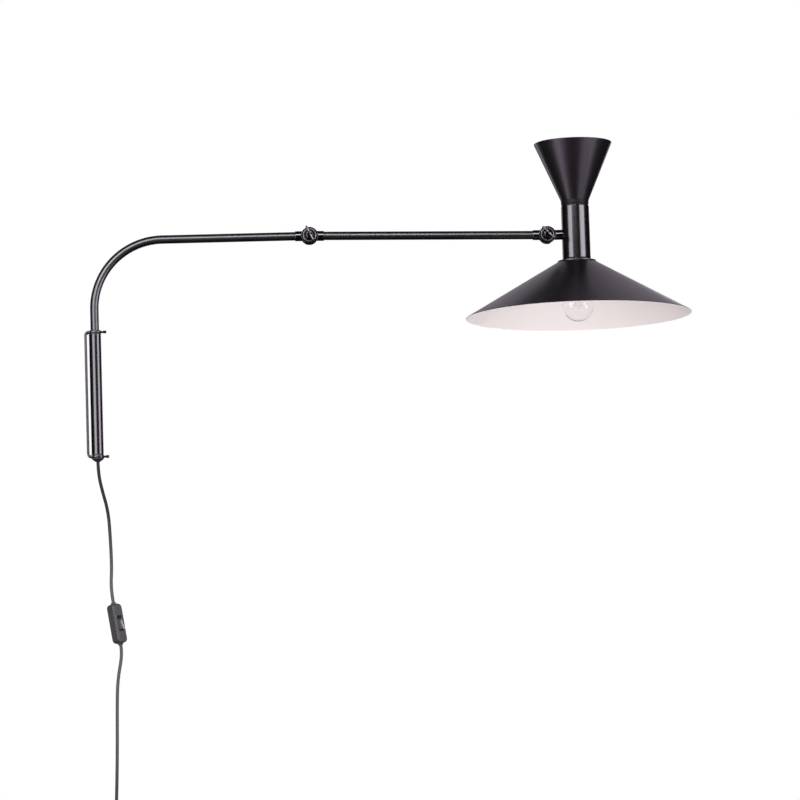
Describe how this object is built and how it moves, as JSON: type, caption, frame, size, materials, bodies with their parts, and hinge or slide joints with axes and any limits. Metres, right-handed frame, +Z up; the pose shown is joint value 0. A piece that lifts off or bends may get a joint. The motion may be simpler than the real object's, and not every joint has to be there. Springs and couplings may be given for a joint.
{
  "type": "swing arm wall lamp",
  "caption": "Wall lamp on a strip bracket: a bent arm that swings, a forearm with wing screw pivots, and a tilting head with a wide shade below and a small open cone above.",
  "frame": {"origin": "centre of the wall bracket's back face, where it meets the wall", "axes": "+X out of the wall along the arm at rest, +Y along the wall, +Z up"},
  "size_m": [0.8599, 0.32, 1.0435],
  "materials": {
    "black_steel": "satin",
    "black_neck": "gloss",
    "black_sheet": "matte",
    "bare_aluminium": "satin",
    "plain_steel": "satin",
    "pin_metal": "satin",
    "cap_metal": "satin",
    "bush_plastic": "satin",
    "black_plastic": "satin",
    "holder_plastic": "satin",
    "switch_plastic": "satin",
    "rocker_plastic": "satin",
    "cord_sheath": "satin",
    "tie_plastic": "matte",
    "fibre": "matte",
    "filament": "satin",
    "bulb_glass": "gloss"
  },
  "bodies": {
    "wall_side": {"wall_bracket": "black_steel", "upper_ear_screw": "black_steel", "lower_ear_screw": "black_steel", "swivel_sleeve": "black_steel", "upper_swivel_bush": "bush_plastic", "lower_swivel_bush": "bush_plastic", "cord_gland": "black_plastic", "cord_upper": "cord_sheath", "cord_lower": "cord_sheath", "cord_coil": "cord_sheath", "coil_tie": "tie_plastic", "plug_sleeve": "cord_sheath", "plug_body": "switch_plastic", "plug_pins": "pin_metal", "switch_front": "switch_plastic", "switch_back": "switch_plastic", "switch_screws": "plain_steel", "switch_cord_nubs": "cord_sheath"},
    "swing_arm": {"curved_arm_tube": "black_steel", "arm_cable": "cord_sheath", "elbow_rear_knuckle": "black_steel"},
    "forearm": {"elbow_front_knuckle": "black_steel", "forearm_tube": "black_steel", "forearm_cable": "cord_sheath", "head_rear_knuckle": "black_steel", "elbow_friction_washer": "fibre", "elbow_cup_washer": "black_steel"},
    "lamp_head": {"head_front_knuckle": "black_steel", "head_friction_washer": "fibre", "head_cup_washer": "black_steel", "neck_tube": "black_neck", "neck_hub": "bare_aluminium", "lower_nipple": "plain_steel", "upper_nipple": "plain_steel", "lower_shade": "black_sheet", "upper_cone": "black_sheet", "cone_spacer_ring": "black_sheet", "lower_lampholder": "holder_plastic", "upper_lampholder": "holder_plastic", "lower_shade_ring": "holder_plastic", "upper_shade_ring": "holder_plastic", "lower_bulb_glass": "bulb_glass", "lower_bulb_cap": "cap_metal", "lower_bulb_filament": "filament", "upper_bulb_glass": "bulb_glass", "upper_bulb_cap": "cap_metal", "upper_bulb_filament": "filament"},
    "elbow_screw": {"elbow_wing_screw": "black_steel"},
    "head_screw": {"head_wing_screw": "black_steel"},
    "rocker": {"switch_rocker": "rocker_plastic"}
  },
  "joints": [
    {"name": "arm_swing", "type": "hinge", "parent": "wall_side", "child": "swing_arm", "pos_m": [0.015, 0, 0], "axis": [0, 0, 1], "range_deg": [-75, 75]},
    {"name": "elbow_tilt", "type": "hinge", "parent": "swing_arm", "child": "forearm", "pos_m": [0.3215, 0, 0.218], "axis": [0, 1, 0], "range_deg": [-90, 90]},
    {"name": "head_tilt", "type": "hinge", "parent": "forearm", "child": "lamp_head", "pos_m": [0.65893, 0, 0.21093], "axis": [0, 1, 0], "range_deg": [-60, 36]},
    {"name": "elbow_screw_turn", "type": "hinge", "parent": "swing_arm", "child": "elbow_screw", "pos_m": [0.3215, 0, 0.218], "axis": [0, -1, 0], "range_deg": [0, 180]},
    {"name": "head_screw_turn", "type": "hinge", "parent": "forearm", "child": "head_screw", "pos_m": [0.65893, 0, 0.21093], "axis": [0, -1, 0], "range_deg": [0, 180]},
    {"name": "switch_rock", "type": "hinge", "parent": "wall_side", "child": "rocker", "pos_m": [0.0396, -0.00318, -0.32347], "axis": [0.6992, 0.7071, 0.1057], "range_deg": [0, 16]}
  ]
}
